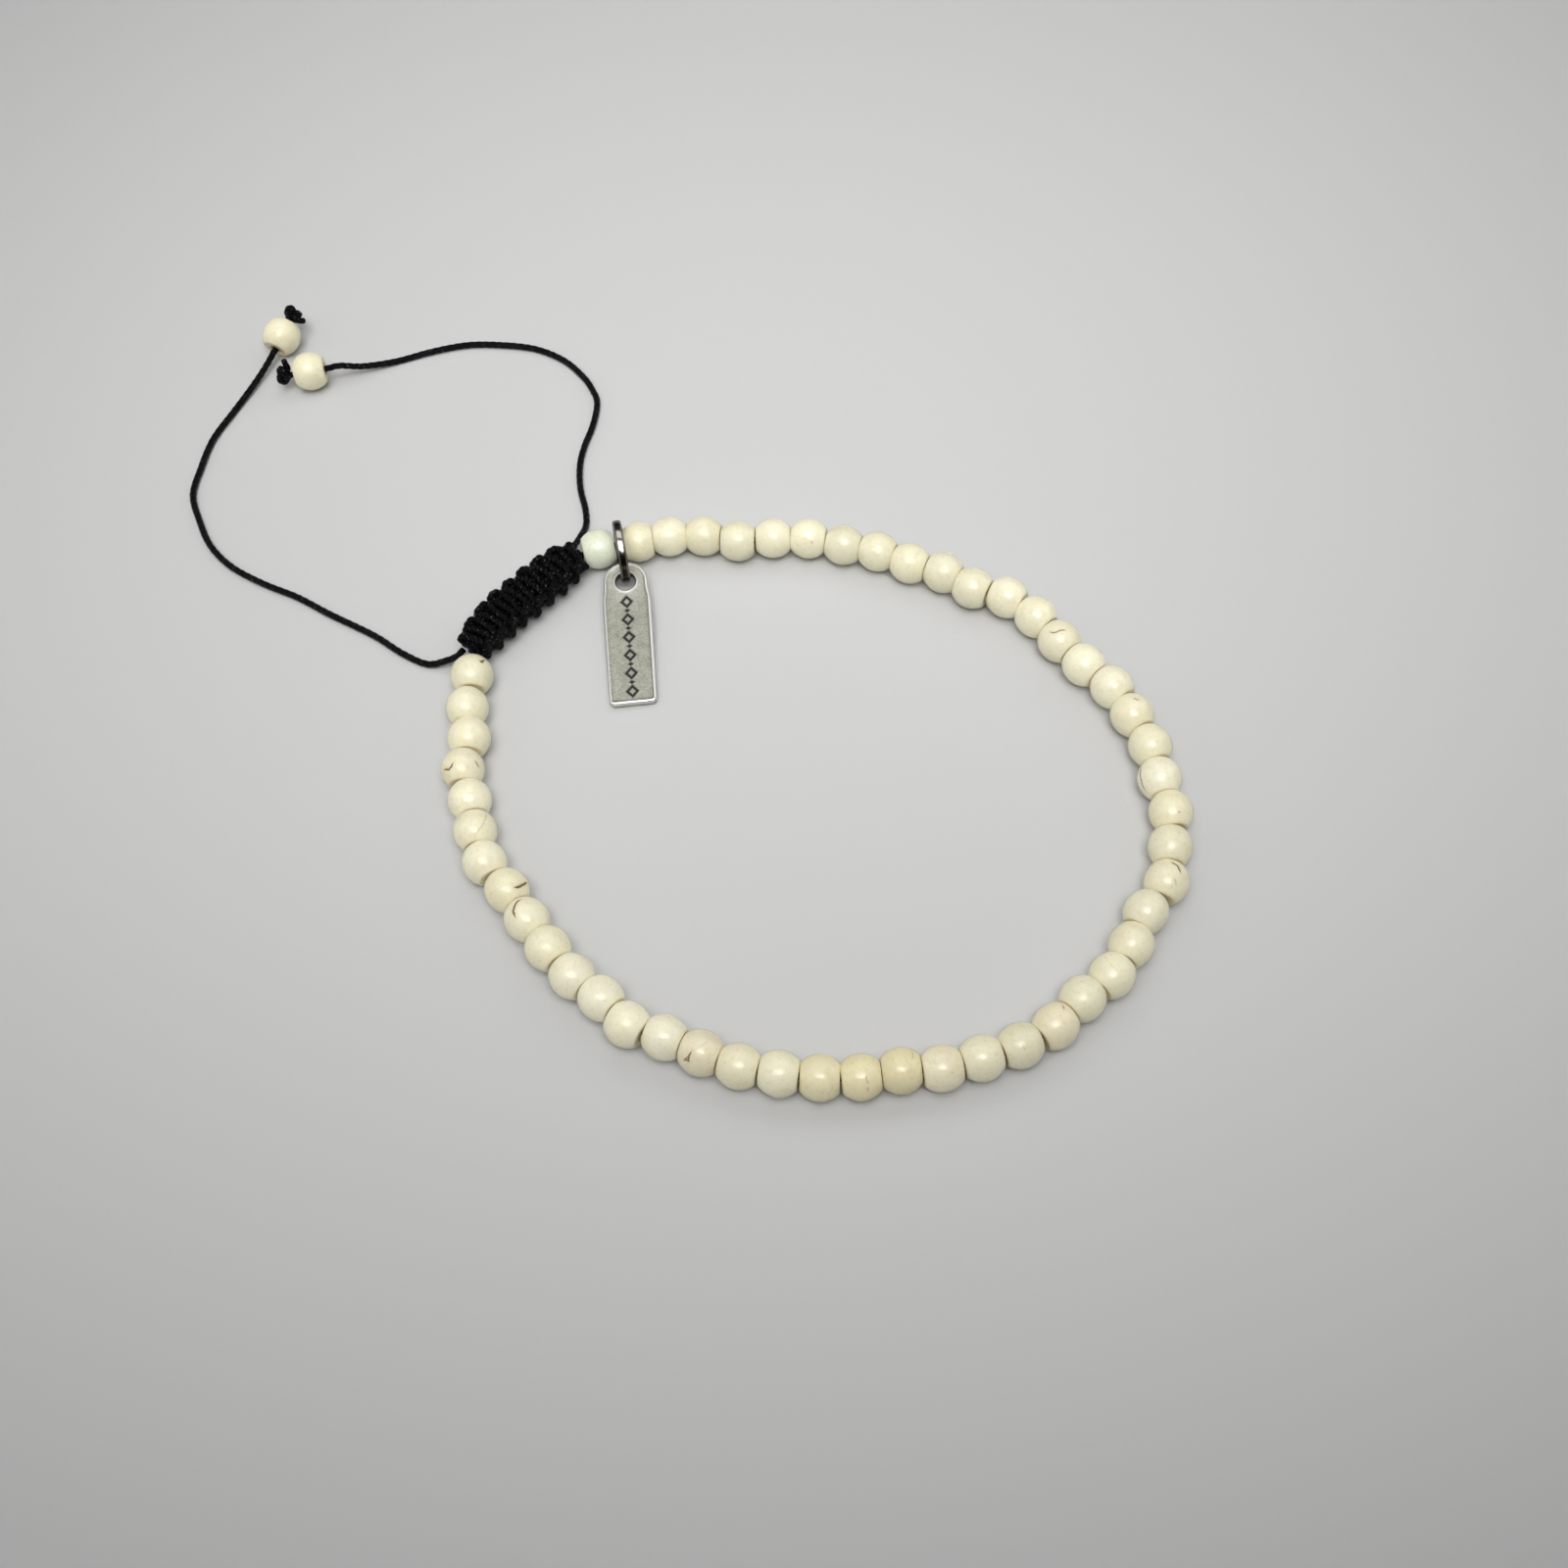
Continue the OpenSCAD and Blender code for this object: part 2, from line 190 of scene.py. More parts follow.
class Heap:
    """Vertices, faces and per-vertex values of several shapes joined in one mesh."""

    def __init__(self):
        self.v, self.f, self.n, self.data = [], [], 0, {}

    def add(self, verts, faces, **values):
        verts = np.asarray(verts, float)
        self.v.append(verts)
        self.f += [tuple(int(k) + self.n for k in f) for f in faces]
        for name, val in values.items():
            val = np.asarray(val, float)
            if val.ndim == 0:
                val = np.full(len(verts), float(val))
            elif val.ndim == 1 and len(val) != len(verts):
                val = np.tile(val, (len(verts), 1))
            self.data.setdefault(name, []).append(val)
        self.n += len(verts)

    def make(self, name, flat=False):
        mesh = bpy.data.meshes.new(name)
        mesh.from_pydata((np.concatenate(self.v) * MM).tolist(), [], self.f)
        for key, parts in self.data.items():
            val = np.concatenate(parts)
            if val.ndim == 1:
                a = mesh.attributes.new(key, "FLOAT", "POINT")
                a.data.foreach_set("value", val.astype(np.float32))
            elif val.shape[1] == 3:
                a = mesh.attributes.new(key, "FLOAT_VECTOR", "POINT")
                a.data.foreach_set("vector", val.astype(np.float32).ravel())
            else:
                a = mesh.attributes.new(key, "FLOAT_COLOR", "POINT")
                a.data.foreach_set("color", val.astype(np.float32).ravel())
        if not flat:
            mesh.polygons.foreach_set("use_smooth", np.ones(len(mesh.polygons), bool))
        mesh.update()
        obj = bpy.data.objects.new(name, mesh)
        scene.collection.objects.link(obj)
        return obj


def grid_faces(rows, cols, closed_rows=False, closed_cols=True):
    out = []
    for j in range(rows if closed_rows else rows - 1):
        jj = (j + 1) % rows
        for k in range(cols if closed_cols else cols - 1):
            kk = (k + 1) % cols
            out.append((j * cols + k, j * cols + kk, jj * cols + kk, jj * cols + k))
    return out


def carry(P):
    """Directions along, across and over a line of points, without twist."""
    P = np.asarray(P, float)
    T = np.gradient(P, axis=0)
    T /= np.linalg.norm(T, axis=1)[:, None]
    side = np.cross(T[0], [0, 0, 1.0])
    if np.linalg.norm(side) < 0.2:
        side = np.cross(T[0], [0, 1.0, 0])
    side /= np.linalg.norm(side)
    N = [side]
    for a, b in zip(T, T[1:]):
        n = N[-1]
        axis = np.cross(a, b)
        s = np.linalg.norm(axis)
        if s > 1e-9:
            axis /= s
            ang = math.atan2(s, float(a @ b))
            n = n * math.cos(ang) + np.cross(axis, n) * math.sin(ang) + axis * (axis @ n) * (1 - math.cos(ang))
        n = n - b * (n @ b)
        N.append(n / np.linalg.norm(n))
    N = np.array(N)
    return T, N, np.cross(T, N)


def tube(P, r, sides=12, plies=0, lay=2.0, groove=0.2, phase=0.0, tip=(0.35, 0.35)):
    """A closed tube along P. With plies it is a twisted cord with a groove between the plies."""
    P = np.asarray(P, float)
    T, N, B = carry(P)
    s = run(P)
    r = np.broadcast_to(np.asarray(r, float), (len(P),)).copy()
    ends = []
    for k, sign, depth in ((0, -1, tip[0]), (-1, 1, tip[1])):
        rows = []
        for q in (0.55, 0.9):
            rows.append((P[k] + sign * T[k] * depth * r[k] * q, r[k] * math.sqrt(max(0.04, 1 - q * q)), k))
        ends.append(rows)
    rows = [(p, rr, k) for p, rr, k in ends[0][::-1]]
    rows = [(p, rr, 0) for p, rr, k in rows] + [(P[i], r[i], i) for i in range(len(P))] + \
           [(p, rr, len(P) - 1) for p, rr, k in ends[1]]
    a = np.arange(sides) * 2 * math.pi / sides
    verts, groove_val = [], []
    for p, rr, i in rows:
        shape = np.ones(sides)
        g = np.zeros(sides)
        if plies:
            turned = a - phase - 2 * math.pi * s[i] / lay
            to_ply = np.abs((turned * plies / (2 * math.pi) + 0.5) % 1 - 0.5) * 2  # 0 on a ply, 1 between
            g = to_ply ** 3
            shape = 1 - groove * to_ply ** 2.2
        verts.append(p + rr * shape[:, None] * (np.cos(a)[:, None] * N[i] + np.sin(a)[:, None] * B[i]))
        groove_val.append(g)
    m = len(rows)
    faces = grid_faces(m, sides)
    faces.append(tuple(range(sides))[::-1])
    faces.append(tuple((m - 1) * sides + k for k in range(sides)))
    return np.concatenate(verts), faces, np.concatenate(groove_val), np.repeat([s[i] for _, _, i in rows], sides)


# ---- materials -----------------------------------------------------------------

def principled(name):
    m = bpy.data.materials.new(name)
    m.use_nodes = True
    nt = m.node_tree
    return m, nt, nt.nodes["Principled BSDF"]


def node(nt, kind, **values):
    n = nt.nodes.new(kind)
    for key, v in values.items():
        if key.startswith("_"):
            setattr(n, key[1:], v)
        else:
            n.inputs[key.replace("__", " ")].default_value = v
    return n


def attribute(nt, name):
    n = nt.nodes.new("ShaderNodeAttribute")
    n.attribute_name = name
    return n


def coords(nt, scale, offset=None):
    """Object coordinates in units of 1/scale metres, with an attribute's vector added."""
    tc = nt.nodes.new("ShaderNodeTexCoord")
    mul = nt.nodes.new("ShaderNodeVectorMath")
    mul.operation = "SCALE"
    mul.inputs["Scale"].default_value = scale
    nt.links.new(tc.outputs["Object"], mul.inputs[0])
    if offset is None:
        return mul.outputs[0]
    add = nt.nodes.new("ShaderNodeVectorMath")
    add.operation = "ADD"
    nt.links.new(mul.outputs[0], add.inputs[0])
    nt.links.new(attribute(nt, offset).outputs["Vector"], add.inputs[1])
    return add.outputs[0]


def noise(nt, where, scale, detail=3.0, rough=0.55, distortion=0.0):
    n = nt.nodes.new("ShaderNodeTexNoise")
    n.inputs["Scale"].default_value = scale
    n.inputs["Detail"].default_value = detail
    n.inputs["Roughness"].default_value = rough
    n.inputs["Distortion"].default_value = distortion
    nt.links.new(where, n.inputs["Vector"])
    return n.outputs["Fac"]


def ramp(nt, fac, stops):
    n = nt.nodes.new("ShaderNodeValToRGB")
    n.color_ramp.elements[0].position, n.color_ramp.elements[1].position = stops[0][0], stops[-1][0]
    for k in range(1, len(stops) - 1):
        n.color_ramp.elements.new(stops[k][0])
    for e, (pos, col) in zip(n.color_ramp.elements, stops):
        e.position = pos
        e.color = (*col, 1) if len(col) == 3 else col
    nt.links.new(fac, n.inputs["Fac"])
    return n.outputs["Color"]


def mix(nt, fac, a, b, blend="MIX"):
    n = nt.nodes.new("ShaderNodeMix")
    n.data_type = "RGBA"
    n.blend_type = blend
    for value, socket in ((fac, n.inputs[0]), (a, n.inputs[6]), (b, n.inputs[7])):
        if isinstance(value, bpy.types.NodeSocket):
            nt.links.new(value, socket)
        else:
            socket.default_value = value if not isinstance(value, tuple) else (*value, 1)
    return n.outputs[2]


def scaled(nt, value, low, high):
    n = nt.nodes.new("ShaderNodeMapRange")
    n.inputs["To Min"].default_value = low
    n.inputs["To Max"].default_value = high
    nt.links.new(value, n.inputs["Value"])
    return n.outputs["Result"]


def bumped(nt, shader, height, strength, distance):
    n = nt.nodes.new("ShaderNodeBump")
    n.inputs["Strength"].default_value = strength
    n.inputs["Distance"].default_value = distance
    nt.links.new(height, n.inputs["Height"])
    nt.links.new(n.outputs["Normal"], shader.inputs["Normal"])


def stone_material():
    m, nt, p = principled("cream_stone")
    where = coords(nt, 1000, "seed")
    cloud = noise(nt, where, 0.45, 4, 0.6, 0.4)
    fine = noise(nt, where, 3.5, 3, 0.6)
    tint = attribute(nt, "tint").outputs["Color"]
    shade = ramp(nt, cloud, [(0.30, (0.93, 0.915, 0.875)), (0.50, (0.985, 0.98, 0.965)), (0.72, (1.0, 1.0, 1.0))])
    col = mix(nt, 1.0, tint, shade, "MULTIPLY")
    specks_and_glints = ramp(nt, fine, [(0.34, (0.93, 0.90, 0.84)), (0.46, (1, 1, 1)), (1.0, (1, 1, 1))])
    col = mix(nt, 1.0, col, specks_and_glints, "MULTIPLY")
    # rim: darker brown at the bead ends, partly dirt and cord dye, partly painted shade in the joint between beads
    rim = attribute(nt, "rim").outputs["Fac"]
    col = mix(nt, rim, col, (0.60, 0.49, 0.29))
    warm = attribute(nt, "halo").outputs["Fac"]
    col = mix(nt, warm, col, (0.74, 0.55, 0.33))
    crack = attribute(nt, "crack").outputs["Fac"]
    col = mix(nt, crack, col, (0.12, 0.072, 0.018))
    nt.links.new(col, p.inputs["Base Color"])
    nt.links.new(scaled(nt, noise(nt, where, 1.6, 3, 0.6), 0.15, 0.24), p.inputs["Roughness"])
    p.inputs["Subsurface Weight"].default_value = 0.10
    p.inputs["Subsurface Radius"].default_value = (1.0, 0.75, 0.45)
    p.inputs["Subsurface Scale"].default_value = 0.0006
    p.inputs["IOR"].default_value = 1.5
    bumped(nt, p, noise(nt, where, 1.3, 4, 0.6), 0.05, 0.00006)
    return m


def cord_material(name="waxed_cord", dark=(0.0012, 0.0012, 0.0014), lit=(0.0036, 0.0036, 0.0042), specks_and_glints=24):
    m, nt, p = principled(name)
    where = coords(nt, 1000)
    fibre = noise(nt, where, 2.9, 4, 0.7)
    blotch = noise(nt, where, 1.4, 3, 0.6)
    # painted glints: the two brightest stops of the ramp are bright spots that stand in for highlights on the fibres
    col = ramp(nt, fibre, [(0.32, dark), (0.56, lit), (0.61, tuple(2.2 * c for c in lit)), (0.67, tuple(specks_and_glints * c for c in lit))])
    # painted shade: the grooves between the plies are darkened almost to black, which also keeps the painted glints
    # off them
    groove = attribute(nt, "groove").outputs["Fac"]
    col = mix(nt, scaled(nt, groove, 0, 0.75), col, (0.001, 0.001, 0.0012))
    nt.links.new(col, p.inputs["Base Color"])
    nt.links.new(scaled(nt, blotch, 0.10, 0.24), p.inputs["Roughness"])
    p.inputs["Specular IOR Level"].default_value = 0.075
    bumped(nt, p, fibre, 0.9, 0.00026)
    return m


def silver_material():
    m, nt, p = principled("antique_silver")
    where = coords(nt, 1000)
    mottle = noise(nt, where, 0.9, 6, 0.62, 0.6)
    grain = noise(nt, where, 7.0, 4, 0.7)
    col = ramp(nt, mottle, [(0.30, (0.23, 0.235, 0.19)), (0.48, (0.335, 0.34, 0.28)), (0.68, (0.44, 0.44, 0.38))])
    col = mix(nt, 0.5, col, ramp(nt, grain, [(0.38, (0.15, 0.155, 0.12)), (0.52, (0.38, 0.38, 0.32)), (0.8, (0.60, 0.60, 0.54))]))
    worn = attribute(nt, "worn").outputs["Fac"]
    col = mix(nt, worn, col, (0.86, 0.855, 0.83))
    patina = attribute(nt, "patina").outputs["Fac"]
    col = mix(nt, patina, col, (0.16, 0.15, 0.12))
    black = attribute(nt, "black").outputs["Fac"]
    col = mix(nt, black, col, (0.006, 0.006, 0.006))
    nt.links.new(col, p.inputs["Base Color"])
    rough = nt.nodes.new("ShaderNodeMapRange")
    rough.inputs["To Min"].default_value = 0.48
    rough.inputs["To Max"].default_value = 0.30
    nt.links.new(worn, rough.inputs["Value"])
    rmix = nt.nodes.new("ShaderNodeMath")
    rmix.operation = "MAXIMUM"
    nt.links.new(rough.outputs["Result"], rmix.inputs[0])
    nt.links.new(scaled(nt, black, 0, 0.55), rmix.inputs[1])
    nt.links.new(rmix.outputs[0], p.inputs["Roughness"])
    nt.links.new(scaled(nt, black, 0.92, 0.0), p.inputs["Metallic"])
    bumped(nt, p, mix(nt, 0.5, mottle, grain), 0.30, 0.00012)
    return m


def gunmetal_material():
    m, nt, p = principled("gunmetal")
    where = coords(nt, 1000)
    dark = ramp(nt, noise(nt, where, 1.8, 4, 0.6), [(0.35, (0.040, 0.030, 0.025)), (0.65, (0.078, 0.063, 0.053))])
    # on the ring this paints a highlight: brighter metal on the top of the ring, where the overhead light falls
    col = mix(nt, attribute(nt, "worn").outputs["Fac"], dark, (0.42, 0.40, 0.36))
    # edge paints a reflection: lighter, less metallic stripes along the band's two edges
    edge = attribute(nt, "edge").outputs["Fac"]
    col = mix(nt, edge, col, (0.15, 0.132, 0.105))
    nt.links.new(col, p.inputs["Base Color"])
    nt.links.new(scaled(nt, edge, 1.0, 0.25), p.inputs["Metallic"])
    nt.links.new(scaled(nt, noise(nt, where, 4, 3, 0.6), 0.12, 0.20), p.inputs["Roughness"])
    bumped(nt, p, noise(nt, where, 3.0, 3, 0.6), 0.12, 0.00006)
    return m


STONE, CORD, SILVER, GUNMETAL = stone_material(), cord_material(), silver_material(), gunmetal_material()


def piece(obj, material, slot, *nodes):
    obj.data.materials.append(material)
    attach(obj, "root")
    if nodes:
        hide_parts(*nodes)
    return obj


# ---- tails -----------------------------------------------------------------------

CORD_SIDES, CORD_STEP = 15, 0.16


def tail_piece(name, node_name, P, end, phase):
    route = tail_route(P, end)
    fine = even(route, CORD_STEP)
    v, f, g, s = tube(fine, CORD_R, CORD_SIDES, plies=3, lay=2.4, groove=0.17, phase=phase, tip=(0.1, 0.1))
    h = Heap()
    h.add(v, f, groove=g)
    obj = piece(h.make(name), CORD, "waxed_cord", node_name)
    return obj, even(route, 1.75)


tail_left, path_left = tail_piece("tail_cord_left", "tail_left", TAIL_LEFT, END_LEFT, 0.3)
tail_right, path_right = tail_piece("tail_cord_right", "tail_right", TAIL_RIGHT, END_RIGHT, 1.1)


# ---- beads -----------------------------------------------------------------------

# Charted marks on the beads. Each is [width, depth, darkness, points], with a
# point as (distance along the hole from the bead's middle, degrees round it from the
# top, outwards positive).
MARKS = {
    51: [[.17, .05, .95, [(.60, -31), (.40, -39), (.88, -49)]]],
    48: [[.13, .04, .80, [(-.55, 50), (-.80, 30), (-.62, 20), (-.25, 14)]],
         [.12, .03, .60, [(-.05, -44), (-.55, -60)]]],
    46: [[.06, .01, .35, [(1.0, -50), (.2, -40), (-.67, -24), (-1.3, 0)]]],
    44: [[.17, .05, .95, [(-1.02, -15), (-1.12, -26), (-1.10, -38), (-.98, -53), (-.74, -68)]]],
    43: [[.16, .05, .95, [(1.33, -19), (1.26, -4), (.98, 10), (.57, 22), (-.08, 26)]]],
    37: [[.14, .04, .70, [(.90, 47), (.38, 47), (.48, 33), (.34, 21)]],
         [.12, .03, .60, [(.48, 33), (.86, 55)]],
         [.05, .01, .12, [(.34, 21), (-.2, 5), (-.6, -20)]]],
    33: [[.12, .02, .30, [(-.45, 16), (-.40, 28), (-.48, 38)]],
         [.12, .02, .25, [(-.44, 46), (-.34, 58)]]],
    32: [[.07, .01, .22, [(-.9, -6), (-1.1, -20), (-1.0, -38)]]],
    29: [[.07, .01, .30, [(.30, 11), (.28, 32)]]],
    28: [[.10, .03, .50, [(-1.0, -8), (-1.2, -24)]]],
    23: [[.13, .04, .75, [(-1.2, -8), (-1.04, 12), (-.60, 23), (-.35, 27)]],
         [.08, .01, .30, [(.37, 16), (.87, 30)]]],
    20: [[.11, .03, .65, [(-1.1, -62), (-.5, -66), (.33, -70), (.9, -76), (1.2, -80)]]],
    21: [[.14, .03, .45, [(.89, 9), (1.0, 12)]]],
    18: [[.12, .02, .50, [(-.65, 6), (-.22, 16)]]],
    15: [[.12, .03, .65, [(-.60, -28), (-.21, -20), (.05, -2), (.40, 9)]]],
    7: [[.20, .01, .22, [(.44, -45), (.70, -50)]]],
    5: [[.05, .01, .14, [(-.9, 30), (-.2, 45), (.6, 40)]]],
    10: [[.05, .01, .15, [(.2, -60), (.5, -30), (.9, 10)]]],
    26: [[.05, .01, .16, [(-.5, -50), (0, -20), (.2, 20)]]],
    35: [[.05, .01, .12, [(-.8, -40), (-.2, -55), (.5, -70)]]],
}
CREAM, WHITE, MINT = (0.890, 0.845, 0.625), (0.935, 0.898, 0.695), (0.80, 0.845, 0.68)
TAN, PINK, DULL = (0.845, 0.775, 0.510), (0.870, 0.803, 0.590), (0.835, 0.797, 0.595)
KIND = {1: MINT, **{i: WHITE for i in (3, 6, 7, 13, 14, 16, 17, 20, 38, 39, 40, 41, 43, 45, 47)}, **{i: TAN for i in (32, 33, 34)},
        **{i: PINK for i in (28, 31, 37)}, **{i: DULL for i in (4, 5, 8, 9, 11, 12, 22, 24, 27, 29, 51)}}
# How much thicker or thinner the beads run along the string: (bead, share of BEAD_R)
THICKNESS = [(1, .98), (9, .98), (13, 1.003), (19, 1.005), (26, 1.0), (32, .992),
             (37, .998), (41, 1.012), (50, 1.022)]


def thickness(i):
    r = random.Random(900 + i).uniform(-0.008, 0.008)
    t = float(np.interp(i, *zip(*THICKNESS))) + r
    return min(t, 1.0) if 18 < i < 27 else t



def bead_profile(length, extra):
    """Outline of half a bead, from one mouth of its hole over its side to the other: (along, out)."""
    half, back, rnd, bore, lip = length / 2, BARREL_R - BEAD_R, 0.18, 0.55, 0.12
    ac = half - rnd
    rc = math.sqrt((BARREL_R - rnd) ** 2 - ac * ac) - back
    steep = math.atan2(ac, rc + back)
    side = sorted(set(np.round(np.concatenate([np.linspace(-steep, steep, 26),
                                               [math.asin(max(-.999, min(.999, e / BARREL_R))) for e in extra
                                                if abs(e) < BARREL_R * math.sin(steep)]]), 5)))
    keep = [side[0]]
    for a in side[1:]:
        if a - keep[-1] > 0.006:
            keep.append(a)
    keep[-1] = side[-1]
    body = [(BARREL_R * math.sin(a), BARREL_R * math.cos(a) - back) for a in keep]
    rim = [(ac + rnd * math.sin(a), rc + rnd * math.cos(a)) for a in np.linspace(steep, math.pi / 2, 7)[1:]]
    face = [(half, r) for r in (rc * 0.86 + bore * 0.14 + .02, (rc + bore + lip) / 2, bore + lip)]
    mouth = [(half - lip + lip * math.cos(a), bore + lip - lip * math.sin(a)) for a in np.linspace(0, math.pi / 2, 5)[1:]]
    wall = [(half * 0.55, bore)]
    end = rim + face + mouth + wall
    return [(-a, r) for a, r in end[::-1]] + body + end, len(end), len(body)


def polyline_distance(px, py, line):
    best = np.full(px.shape, 1e9)
    share = np.zeros(px.shape)
    total = sum(math.dist(a, b) for a, b in zip(line, line[1:])) or 1
    gone = 0.0
    for (ax, ay), (bx, by) in zip(line, line[1:]):
        dx, dy = bx - ax, by - ay
        L2 = dx * dx + dy * dy
        t = np.clip(((px - ax) * dx + (py - ay) * dy) / max(L2, 1e-9), 0, 1)
        d = np.hypot(px - ax - t * dx, py - ay - t * dy)
        near = d < best
        best = np.where(near, d, best)
        share = np.where(near, (gone + t * math.sqrt(L2)) / total, share)
        gone += math.sqrt(L2)
    return best, share


def wobble(line, rnd, amount):
    """The same line with a few more points, a little off it, as a crack runs."""
    out = [line[0]]
    for a, b in zip(line, line[1:]):
        n = max(1, int(math.dist(a, b) / 0.14))
        dx, dy = b[0] - a[0], b[1] - a[1]
        L = math.hypot(dx, dy) or 1
        for k in range(1, n):
            off = rnd.uniform(-amount, amount)
            out.append((a[0] + dx * k / n - dy / L * off, a[1] + dy * k / n + dx / L * off))
        out.append(b)
    return out


def add_bead(heap, centre, h, length, number, tilt=0.0, thick=1.0):
    rnd = random.Random(100 + number)
    marks = []
    for width, depth, dark, line in MARKS.get(number, []):
        width, dark = 1.35 * width, min(1, 1.25 * dark)
        flat = [(a, math.radians(t) * 1.93) for a, t in line]
        marks.append((width, depth, dark, wobble(flat, rnd, 0.035)))
    extra, turn_extra = [], []
    for width, depth, dark, line in marks:
        lo, hi = min(p[0] for p in line) - width, max(p[0] for p in line) + width
        extra += list(np.arange(lo, hi, 0.040))
        lo, hi = min(p[1] for p in line) - width, max(p[1] for p in line) + width
        turn_extra += list(np.arange(lo, hi, 0.040) / 1.93)
    profile, n_end, n_body = bead_profile(length, extra)
    turns = sorted(set(np.round(np.concatenate([np.arange(56) * 2 * math.pi / 56 - math.pi, turn_extra]), 5)))
    kept = [turns[0]]
    for t in turns[1:]:
        if t - kept[-1] > 0.012:
            kept.append(t)
    if kept[-1] > math.pi - 0.02:
        kept.pop()
    th = np.array(kept)
    A = np.array([p[0] for p in profile])
    R = np.array([p[1] for p in profile])
    AA, TT = np.meshgrid(A, th, indexing="ij")
    RR = np.repeat(R[:, None], len(th), 1)
    outer = np.zeros(RR.shape, bool)
    outer[n_end - 7:n_end + n_body + 7] = True
    # a little out of round, as tumbled stone is
    ph = [rnd.uniform(0, 6.28) for _ in range(4)]
    lump = 0.008 * np.cos(2 * TT + ph[0]) + 0.005 * np.cos(3 * TT + ph[1]) + 0.006 * np.cos(1.7 * AA + TT + ph[2])
    RR = np.where(outer, RR * thick + lump - 0.012, RR)
    crack = np.zeros(RR.shape)
    halo = np.zeros(RR.shape)
    for width, depth, dark, line in marks:
        d, share = polyline_distance(AA, TT * 1.93, line)
        taper = np.clip(np.minimum(share, 1 - share) * 6, 0.25, 1)
        w = width * 0.5 * taper
        core = np.clip(1.35 - d / w, 0, 1)
        crack = np.maximum(crack, dark * np.where(outer, core, 0))
        halo = np.maximum(halo, 0.32 * dark * np.clip(1 - d / (width * 2.6), 0, 1) ** 1.5 * outer)
        RR = RR - np.where(outer, depth * core, 0)
    x, out = AA, RR
    ax = np.array([math.cos(h), math.sin(h), 0])
    left = np.array([-math.sin(h), math.cos(h), 0])
    up = np.array([0, 0, 1.0])
    if tilt:
        ax, up = ax * math.cos(tilt) + up * math.sin(tilt), up * math.cos(tilt) - ax * math.sin(tilt)
    V = (np.asarray(centre)[None, None] + x[..., None] * ax
         + (out * np.cos(TT))[..., None] * up + (out * np.sin(TT))[..., None] * left)
    # the darker brown line where two beads meet, stronger towards the hole: partly dirt and cord dye on the bead ends,
    # partly painted shade in the joint between beads
    edge = np.clip((np.abs(AA) - (length / 2 - 0.24)) / 0.22, 0, 1)
    inner = np.clip((1.55 - RR) / 0.5, 0, 1)
    rim = np.clip(0.66 * edge ** 1.8 * (0.30 + 0.70 * inner), 0, 1) * rnd.uniform(0.75, 1.0)
    base = KIND.get(number, CREAM)
    k = rnd.uniform(0.965, 1.02)
    warm = rnd.uniform(-0.018, 0.018)
    tint = (base[0] * k, base[1] * k - warm * 0.3, base[2] * k - warm, 1)
    rows, cols = RR.shape
    faces = grid_faces(rows, cols, closed_rows=True)
    heap.add(V.reshape(-1, 3), faces, crack=crack.ravel(), halo=halo.ravel(), rim=rim.ravel(),
             tint=np.array(tint), seed=np.array([rnd.uniform(0, 50) for _ in range(3)]))


for letter, (first, last) in STRANDS.items():
    heap = Heap()
    for i in range(first, last + 1):
        rnd = random.Random(500 + i)
        c = bead_at(i)
        room = (bead_s(i + 1) - bead_s(i - 1)) / 2 if 3 < i < COUNT else PITCH
        length = FIRST_LEN if i == 1 else SECOND_LEN + 0.13 if i == 2 else BEAD_LEN - PITCH + room + rnd.uniform(-0.05, 0.0)
        if i == 2:
            c = c + 0.065 * np.array([math.cos(bead_dir(i)), math.sin(bead_dir(i))])
        add_bead(heap, (c[0], c[1], BEAD_R * thickness(i)), bead_dir(i) + math.radians(rnd.uniform(-1.2, 1.2)),
                 length, i, math.radians(rnd.uniform(-0.8, 0.8)), thickness(i))
    piece(heap.make("beads_" + letter), STONE, "stone", "bead_strand_" + letter)

for side, end, number in (("left", END_LEFT, 101), ("right", END_RIGHT, 102)):
    heap = Heap()
    add_bead(heap, beyond(end, 0), math.radians(end[2]), 3.3, number, math.radians(end[3]))
    piece(heap.make("end_bead_" + side + "_stone"), STONE, "stone", "end_bead_" + side)


# ---- thread through the beads ------------------------------------------------------

sleeve_line = curve([(x, y) for x, y, w in SLEEVE], 8)
sleeve_s = run(sleeve_line)
sleeve_share = np.interp(np.linspace(0, 1, 60), sleeve_s / sleeve_s[-1],
                         np.interp(np.arange(len(sleeve_line)) / 8, np.arange(len(SLEEVE)), [w for x, y, w in SLEEVE]))
SLEEVE_Z = 1.83
ends_in = at(sleeve_line, sleeve_s, [0.0, sleeve_s[-1]])
thread = [(*ends_in[1], BEAD_R)] + [(*bead_at(i), BEAD_R) for i in range(1, COUNT + 1)] + [(*ends_in[0], BEAD_R)]
heap = Heap()
v, f, g, s = tube(even(curve(thread, 4), 0.22), CORD_R - 0.01, 12, plies=3, lay=2.4, groove=0.17)
heap.add(v, f, groove=g)
piece(heap.make("loop_cord"), CORD, "waxed_cord")


# ---- knotted sleeve ------------------------------------------------------------------

KNOTS = 16                      # half knots
WORK_R = 0.41                   # radius of the working cords
rnd = random.Random(7)
T = sleeve_s[-1]
step = (T + 0.55) / (KNOTS + 0.45)
t_first = 0.25 * step - 0.12


def jog(p, amount=0.07):
    return tuple(c + rnd.uniform(-amount, amount) for c in p)


